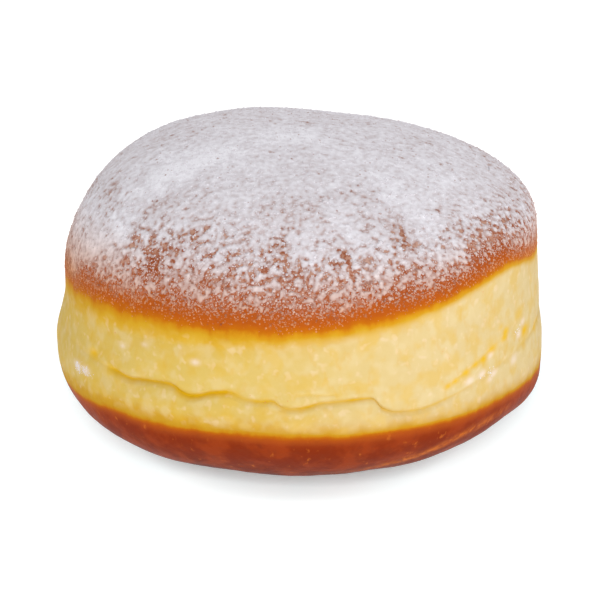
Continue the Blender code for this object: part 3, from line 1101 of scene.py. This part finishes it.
def dough_material():
    """Fried dough: pale and soft on the wall, golden at the crusts' edges, brown on the crusts."""
    look = Shading("fried_dough")
    crust = look.attribute("crust")
    side = look.add("ShaderNodeSeparateXYZ")
    look.feed(side.inputs[0], look.place)
    x, z = side.outputs["X"], side.outputs["Z"]
    low = look.spread(z, 0.020, 0.014)

    # The crust's colour by depth, with streaks near its edge and small blotches.
    streak = look.math("SUBTRACT", look.noise(2.4, 3.0, 0.6, (1.0, 1.0, 0.35)), 0.5)
    blotch = look.math("SUBTRACT", look.noise(1.6, 3.0, 0.6), 0.5)
    near = look.times(look.spread(crust, -7.0, 0.0), look.spread(crust, 4.0, 0.0))
    depth = look.math("ADD", crust, look.times(streak, 2.2, near))
    depth = look.math("ADD", depth, look.times(blotch, 1.4))
    colour = look.ramp(depth, CRUST_COLOURS)

    # Painted shade: darker on the underside and at its foot; a little cooler on the wall just above
    # it.
    # painted shade on the underside, over the crust's own brown
    under = look.times(low, look.spread(crust, 0.5, 7.0))
    colour = look.tint(under, colour, (212, 164, 138), "MULTIPLY")
    # painted shade at the foot, next to the floor
    colour = look.tint(look.spread(z, 0.010, 0.003), colour, (206, 180, 150), "MULTIPLY")
    above = look.times(look.spread(z, 0.024, 0.019), look.spread(crust, -4.5, -1.5))
    colour = look.tint(above, colour, (243, 238, 248), "MULTIPLY")

    # The wall: paler to the right, mottled, with torn marks and flecks, and the fold's dark gold,
    # partly colour and partly painted shade.
    pale = look.spread(crust, -0.5, -3.0)
    right = look.spread(x, -0.02, 0.028, 0.0, 0.85)
    colour = look.tint(look.times(right, pale, 0.7), colour, (212, 193, 156))
    colour = look.patches(colour, pale, WALL_PATCHES)
    for name, strength, target in MARK_COLOURS:
        colour = look.tint(look.times(look.attribute(name), strength), colour, target)

    # The low crust: ruddy and toasted patches, scuffs and the paler streak.
    colour = look.patches(colour, look.times(low, look.spread(crust, 1.0, 4.0)), CRUST_PATCHES)
    colour = look.patches(colour, look.times(low, look.spread(crust, 1.0, 3.0)), SCUFFS)
    rough = look.spread(look.noise(1.6, 3.0, 0.6), 0.35, 0.62, 0.15, 0.75)
    colour = look.tint(look.times(look.attribute("streak"), rough), colour, (212, 112, 30))

    # The finest sugar, which is too small for grains: a haze and a fine speckle on the dome.
    dust = look.attribute("dust")
    veil = look.mix(look.spread(dust, 0.35, 0.8), srgb(176, 116, 92), srgb(170, 146, 146))
    colour = look.mix(look.spread(dust, 0.15, 0.8, 0.0, 0.8), colour, veil)
    speckle = look.math("ADD", look.noise(0.6, 1.0), look.times(dust, 0.3))
    share = look.times(look.spread(speckle, 0.50, 0.75), look.spread(dust, 0.0, 0.6, 0.0, 0.6))
    colour = look.tint(share, colour, (208, 170, 150))

    normal = look.bump(look.noise(0.9, 4.0, 0.6), 0.10, 0.6)
    normal = look.bump(look.noise(0.35, 2.0), 0.03, 0.5, normal)
    return look.finish(colour, look.spread(crust, -2.0, 4.0, 0.62, 0.46), normal, 0.02)


def sugar_material(name):
    """Icing sugar: thin places let the crust's brown through and heaps are whiter."""
    look = Shading("icing_" + name)
    crust = look.attribute("crust")
    shimmer = look.math("SUBTRACT", look.noise(0.9, 3.0, 0.6), 0.5)
    amount = look.math("ADD", look.attribute("amount"), look.times(shimmer, 2.2))
    freckle = look.spread(look.noise(1.7, 2.0, 0.5), 0.60, 0.74, 0.0, 1.5)
    amount = look.math("SUBTRACT", amount, freckle)
    colour = look.ramp(amount, SUGAR_COLOURS)
    near = look.spread(crust, 15.0, 3.0, 0.0, 0.9)
    colour = look.tint(near, colour, (238, 194, 164), "MULTIPLY")
    colour = look.tint(look.spread(crust, 6.5, 1.5), colour, (255, 212, 152), "MULTIPLY")
    return look.finish(colour, 0.85, look.bump(look.noise(0.45, 3.0, 0.6), 0.07, 0.6), 0.15)


def floor_material():
    """A white floor that glows a little, so that shadows on it stay soft, painted cooler under the
    doughnut.
    """
    look = Shading("white_floor")
    distance = look.add("ShaderNodeVectorMath", operation="LENGTH")
    look.feed(distance.inputs[0], look.place)
    colour = look.mix(
        look.spread(distance.outputs["Value"], *FLOOR_CHANGE), FLOOR_NEAR_COOLED, FLOOR_FAR
    )
    look.shader.inputs["Emission Color"].default_value = (1.0, 1.0, 1.0, 1.0)
    look.shader.inputs["Emission Strength"].default_value = FLOOR_GLOW
    return look.finish(colour, 0.9, look.bump(look.noise(60.0), 0.01, 0.1), 0.0)


# ---- stage

def make_camera():
    """The camera in front of the doughnut, level across it and looking down."""
    tilt = math.radians(CAMERA_ELEVATION)
    camera = add_object("camera", bpy.data.cameras.new("camera"))
    camera.data.lens = CAMERA_LENS
    camera.data.clip_start = 0.05
    camera.data.clip_end = 20.0
    x, y, z = CAMERA_TARGET
    y -= CAMERA_DISTANCE * math.cos(tilt)
    z += CAMERA_DISTANCE * math.sin(tilt)
    camera.location = (x * MM, y * MM, z * MM)
    camera.rotation_euler = (0.5 * math.pi - tilt, 0.0, 0.0)
    bpy.context.scene.camera = camera


def make_lamp(name, azimuth, elevation, size, power, receivers):
    """A square soft light, in metres, that looks at the doughnut and lights what receives it."""
    light = bpy.data.lights.new(name, "AREA")
    light.size = size
    light.energy = power
    lamp = add_object(name, light)
    turn = math.radians(azimuth)
    rise = math.radians(elevation)
    lamp.location = (
        LAMP_DISTANCE * math.cos(rise) * math.cos(turn),
        LAMP_DISTANCE * math.cos(rise) * math.sin(turn),
        LAMP_DISTANCE * math.sin(rise) + LAMP_AIM_HEIGHT,
    )
    lamp.rotation_euler = (0.5 * math.pi - rise, 0.0, turn + 0.5 * math.pi)
    lamp.light_linking.receiver_collection = receivers


def make_stage():
    """A white floor and world, and lamps for the doughnut and for the floor apart."""
    half = FLOOR_HALF_WIDTH
    corners = [(-half, -half, 0.0), (half, -half, 0.0), (half, half, 0.0), (-half, half, 0.0)]
    floor = mesh_object("floor", corners, [(0, 1, 2, 3)], floor_material(), {})
    world = bpy.data.worlds.new("studio")
    bpy.context.scene.world = world
    world.use_nodes = True
    background = world.node_tree.nodes["Background"].inputs
    background["Color"].default_value = (1.0, 1.0, 1.0, 1.0)
    background["Strength"].default_value = WORLD_STRENGTH
    for name, state, lamps in (
        ("all_but_floor", "EXCLUDE", FOOD_LAMPS), ("floor_only", "INCLUDE", FLOOR_LAMPS),
    ):
        receivers = bpy.data.collections.new(name)
        receivers.objects.link(floor)
        receivers.collection_objects[0].light_linking.link_state = state
        for lamp in lamps:
            make_lamp(*lamp, receivers)
    bpy.context.scene.view_settings.view_transform = "Standard"


make_camera()
make_stage()
doughnut = Doughnut()
dough = make_dough(doughnut)
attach(dough, BODY)
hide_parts(NODE)
meridians = Meridians(doughnut)
for sugar in (
    make_film("sugar_film", meridians, 0.0, FILM_REACH),
    make_film("sugar_lace", meridians, FILM_REACH, LACE_REACH),
    make_grains(meridians),
    make_crumbs(meridians),
):
    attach(sugar, BODY)
